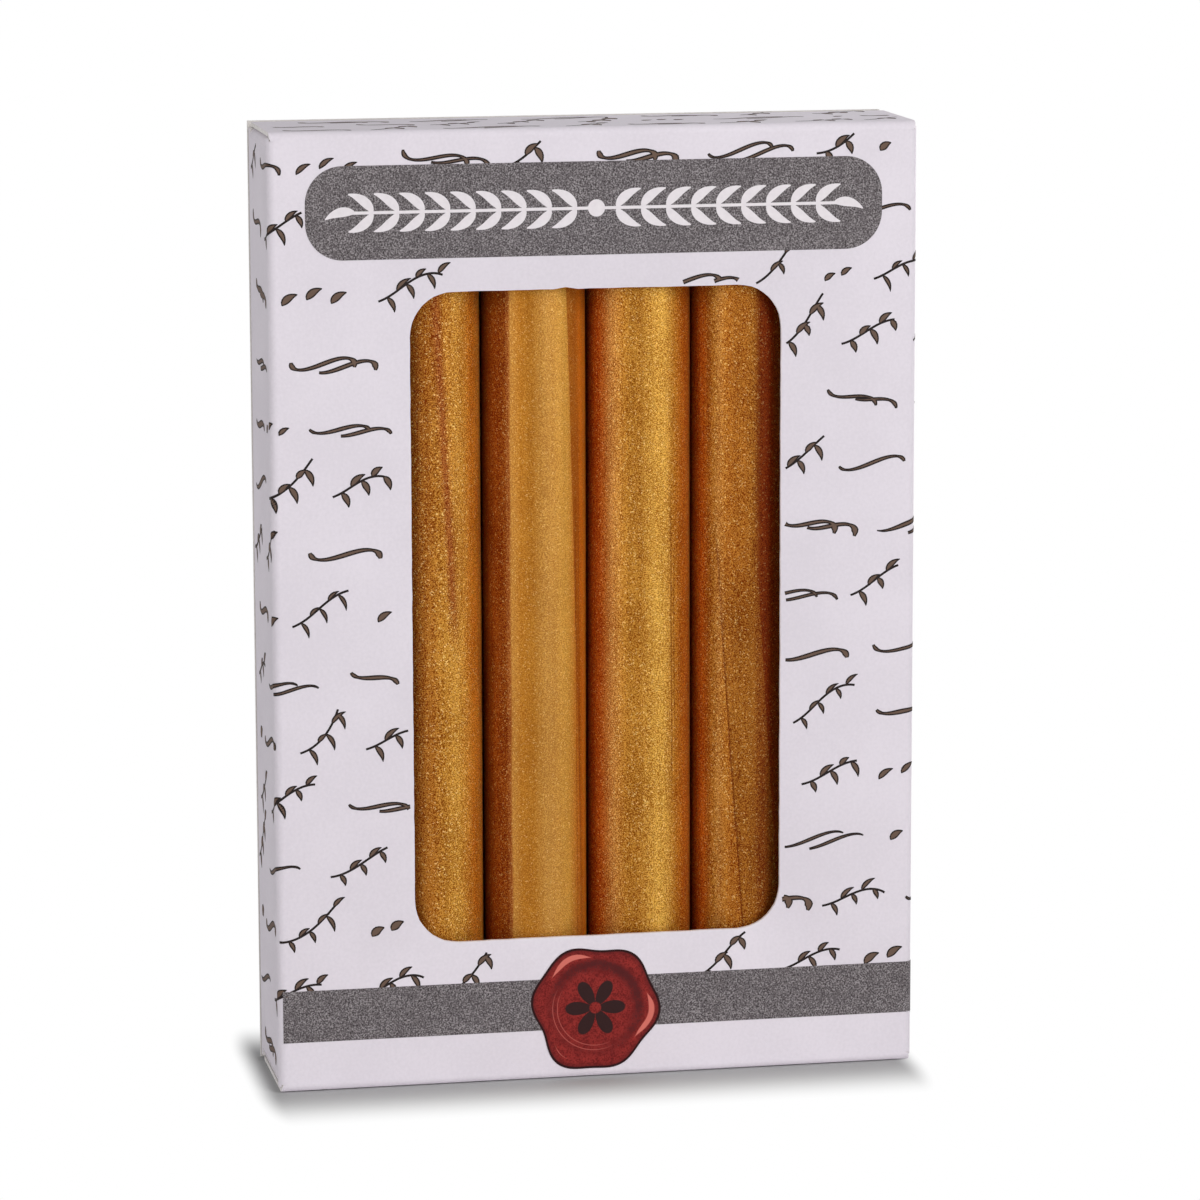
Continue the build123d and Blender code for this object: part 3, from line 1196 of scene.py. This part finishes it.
def pearl_finish(number, centre, radius):
    """Pearl wax of one stick: bands of colour and painted light round it, marks, drag lines along it, mica
    grain.
    """
    material, start, place = new_finish(f"pearl_wax_{number}")
    up = place.part("Z") / (height * mm)
    wander = place.noise(14.0, 2.0, (0.3, 0.3, 1.0)) - 0.5
    across = place.part("X") - centre.x * mm
    ahead = centre.y * mm - place.part("Y")
    degrees = across.maths("ARCTAN2", across, ahead) * math.degrees(1) + 5 * wander
    stops = [((angle + 180) / 360, screen_colour(colour)) for angle, colour in stick_bands_and_light[number]]
    colour = degrees.node("ShaderNodeValToRGB", {"stops": stops}, {"Fac": (degrees + 180) / 360})
    for mark in stick_marks[number]:
        away = (degrees - mark.foot - (mark.top - mark.foot) * up).absolute()
        inside = away.ease(mark.half + mark.soft, mark.half - mark.soft)
        inside = inside * up.ease(mark.low - mark_fade, mark.low + mark_fade)
        inside = inside * up.ease(mark.high + mark_fade, mark.high - mark_fade)
        colour = (mark.strength * inside).mix(colour, mark.colour)
    reach = (across * across + ahead * ahead) ** 0.5 / (radius * mm)
    ripple = (30 * reach + 8 * wander).cosine().ease(-1.0, 1.0)
    colour = reach.ease(0.96, 0.86).mix(colour, ripple.mix(amber, honey))
    drag = place.noise(0.5, 3.0, (1.0, 1.0, 0.03))
    cloud = place.noise(4.0, 3.0, (1.0, 1.0, 0.5))
    mica = place.noise(mica_size, 1.0)
    flakes = {"Vector": place, "Scale": 1 / (flake_size * mm)}
    flake = place.node("ShaderNodeTexVoronoi", {}, flakes, output="Color").part("X")
    grain = stick_grain.get(number, even_grain)
    tone = (0.75 * mica + 0.1 * drag + 0.15 * cloud).ease(0.395, 0.605)
    pale = colour.node("ShaderNodeRGBToBW", {}, {"Color": colour}).ease(0.04, 0.2)
    strength = grain.dark + (grain.pale - grain.dark) * pale
    # The grain mixes shaded and lit tints of the band colour by noise as painted shade and light of single
    # flakes, and the sparkle mixes in painted glints of pale mica colour.
    shaded = colour.tinted(shaded_wax, strength)
    lit = colour.tinted(lit_wax, 0.22 * strength * pale, "MIX")
    sparkle = strength * (0.1 + 0.5 * pale) * flake.ease(0.85, 0.96) * mica.ease(0.42, 0.6)
    close_finish(start, {
        "Base Color": sparkle.mix(tone.mix(shaded, lit), mica_flash),
        "Metallic": 0.1 + 0.4 * pale + 0.25 * mica,
        "Roughness": 0.32 + 0.12 * drag + 0.1 * mica,
        "Specular IOR Level": 0.06,
        "Subsurface Weight": 0.6,
        "Subsurface Radius": (1.0, 0.4, 0.1),
        "Subsurface Scale": 1.2 * mm,
        "Normal": (mica * 0.5 + drag * 0.6 + 0.4 * flake).bump(0.01 * grain.pale),
    })
    return material


def stick_profile(low_z, high_z, radius):
    """Half of a stick's length section, from the middle of its foot to that of its top, sunk as wax sets."""
    quarter = [math.pi / 2 * step / end_steps for step in range(end_steps + 1)]
    rounded = [(radius - end_round * (1 - math.sin(a)), end_round * (1 - math.cos(a))) for a in quarter]
    first_z, last_z = low_z + end_round, high_z - end_round
    between = [first_z + (last_z - first_z) * ring / stick_rings for ring in range(1, stick_rings)]
    foot = [(0.0, low_z), *((reach, low_z + inset) for reach, inset in rounded)]
    head = [(reach, high_z - inset) for reach, inset in reversed(rounded)]
    shares = [ring / sink_rings for ring in range(sink_rings - 1, -1, -1)]
    sunk = [((radius - end_round) * share, high_z - end_sink * (1 - share ** 2)) for share in shares]
    return [*foot, *((radius, z) for z in between), *head, *sunk]


def relief(number, degrees, up, sway):
    """How far a stick's side stands out there: slight waves from casting, and the steps of its marks."""
    out = round_wave * math.sin(2 * math.radians(degrees) + sway[0]) + long_wave * math.sin(9 * up + sway[1])
    for mark in stick_marks[number]:
        away = abs(degrees - mark.foot - (mark.top - mark.foot) * up)
        share = min(1.0, (up - mark.low) / step_fade, (mark.high - up) / step_fade)
        out += mark.rise * max(0.0, share) / (1 + math.exp((away - mark.half) / step_softness))
    return out


for number in stick_bands_and_light:
    low, high = (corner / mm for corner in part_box(f"wax_stick_{number}"))
    centre = (low + high) / 2
    radius = (high.x - low.x) / 2
    stick = bmesh.new()
    profile = stick_profile(low.z, high.z, radius)
    points = [stick.verts.new((centre.x, centre.y - reach, z)) for reach, z in profile]
    edges = [stick.edges.new(pair) for pair in zip(points, points[1:])]
    bmesh.ops.spin(
        stick, geom=points + edges, cent=(centre.x, centre.y, 0), axis=(0, 0, 1), angle=2 * math.pi,
        steps=stick_steps, use_merge=True, use_duplicate=False,
    )
    bmesh.ops.remove_doubles(stick, verts=stick.verts[:], dist=stick_weld)
    bmesh.ops.recalc_face_normals(stick, faces=stick.faces[:])
    hand = random.Random(first_stick_seed + number)
    sway = [hand.uniform(0, 2 * math.pi) for _ in range(2)]
    for vert in stick.verts:
        out = Vector((vert.co.x - centre.x, vert.co.y - centre.y))
        if out.length < radius / 2:
            continue
        degrees = math.degrees(math.atan2(out.x, -out.y))
        factor = 1 + (relief(number, degrees, vert.co.z / height, sway) - relief_allowance) / radius
        vert.co.x = centre.x + out.x * factor
        vert.co.y = centre.y + out.y * factor
    wax = pearl_finish(number, centre, radius)
    stick_piece = make_object(f"pearl_stick_{number}", stick, [wax], stick_sharp_degrees)
    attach(stick_piece, f"wax_stick_{number}")
    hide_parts(f"wax_stick_{number}")

# Studio: a pale table that fades into a white surround and is painted grey near the carton's foot as a
# painted shadow, a large soft light from the front right, a weaker one from the front left and a low one
# behind, with even light from all round.
table_reach = 3.0
table_drop = 0.00006
shadow_aside = 0.003
shadow_inset = 0.0018
shadow_ahead = 0.0135
shadow_grey = (0.44, 0.44, 0.44, 1)
matt_white = (0.86, 0.86, 0.86, 1)
full_white = (1, 1, 1, 1)
ambient = 0.34

table_finish, start, place = new_finish("white_table")
light_path = start.node("ShaderNodeLightPath", output="Is Camera Ray")
x = place.part("X")
past_left = (-right_x * mm - x).at_least(0.0)
past_right = (x - (right_x * mm - shadow_inset)).at_least(0.0)
before = (place.part("Y").absolute() - depth / 2 * mm).at_least(0.0)
aside = (past_left + past_right) / shadow_aside
ahead = before / shadow_ahead
fade = ((aside * aside + ahead * ahead) ** 0.5).ease(0.0, 1.0)
# Near the carton the camera sees the table in a darker grey: a painted shadow that fades out beside and ahead
# of the foot.
shaded = start.node("ShaderNodeBsdfDiffuse", {}, {"Color": shadow_grey, "Roughness": 0.0})
matt = start.node("ShaderNodeBsdfDiffuse", {}, {"Color": matt_white, "Roughness": 0.0})
white = start.node("ShaderNodeEmission", {}, {"Color": full_white, "Strength": 1.0})
seen = start.node("ShaderNodeMixShader", {}, {0: fade, 1: shaded, 2: white})
bounced = start.node("ShaderNodeMixShader", {}, {0: light_path, 1: matt, 2: seen})
below = start.node("ShaderNodeNewGeometry", output="Backfacing")
clear = start.node("ShaderNodeBsdfTransparent")
surface = start.node("ShaderNodeMixShader", {}, {0: below, 1: bounced, 2: clear})
start.node("ShaderNodeOutputMaterial", {}, {"Surface": surface})
table = bmesh.new()
bmesh.ops.create_grid(table, x_segments=1, y_segments=1, size=table_reach / mm)
table_top = make_object("table", table, [table_finish])
table_top.location = (0, 0, -table_drop)
table_top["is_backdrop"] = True

world = bpy.data.worlds.new("studio")
bpy.context.scene.world = world
world.use_nodes = True
world.node_tree.nodes.clear()
sky = Wire(world.node_tree)
direct = sky.node("ShaderNodeLightPath", output="Is Camera Ray")
for ray in ("Is Glossy Ray", "Is Transmission Ray"):
    direct = direct.at_least(sky.node("ShaderNodeLightPath", output=ray))
brightness = ambient + (1 - ambient) * direct
surround = sky.node("ShaderNodeBackground", {}, {"Color": full_white, "Strength": brightness})
sky.node("ShaderNodeOutputWorld", {}, {"Surface": surround})

lamp_aim = Vector((0, 0, 0.05))
for name, place, size, power in (
    ("key_light", (0.55, -0.75, 0.55), (0.5, 0.7), 6.0),
    ("fill_light", (-0.75, -0.6, 0.35), (0.35, 0.7), 2.9),
    ("rear_light", (0.75, 0.7, 0.12), (0.4, 0.4), 3.4),
):
    lamp = bpy.data.lights.new(name, "AREA")
    lamp.shape = "RECTANGLE"
    lamp.size, lamp.size_y = size
    lamp.energy = power
    holder = bpy.data.objects.new(name, lamp)
    holder.location = place
    holder.rotation_euler = (lamp_aim - Vector(place)).to_track_quat("-Z", "Y").to_euler()
    bpy.context.scene.collection.objects.link(holder)

# Camera: a long lens a little above the carton and to its left, turned a touch, so that the front stands
# almost square with a narrow view of the left side and the lid.
camera_lens = 156.0
camera_distance = 0.5533
camera_azimuth = -10.95
camera_elevation = 9.87
camera_roll = 0.17
camera_aim = Vector((0.0018, 0.0, 0.0501))
camera = bpy.data.cameras.new("camera")
camera.lens = camera_lens
camera.sensor_width = 36.0
camera.clip_start, camera.clip_end = 0.01, 20.0
level_view = Euler((math.radians(90 - camera_elevation), 0, math.radians(camera_azimuth))).to_quaternion()
camera_holder = bpy.data.objects.new("camera", camera)
camera_holder.location = camera_aim + level_view @ Vector((0, 0, camera_distance))
camera_holder.rotation_mode = "QUATERNION"
camera_holder.rotation_quaternion = level_view @ Quaternion((0, 0, 1), math.radians(-camera_roll))
bpy.context.scene.collection.objects.link(camera_holder)
bpy.context.scene.camera = camera_holder
bpy.context.scene.view_settings.view_transform = "Standard"

low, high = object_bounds()
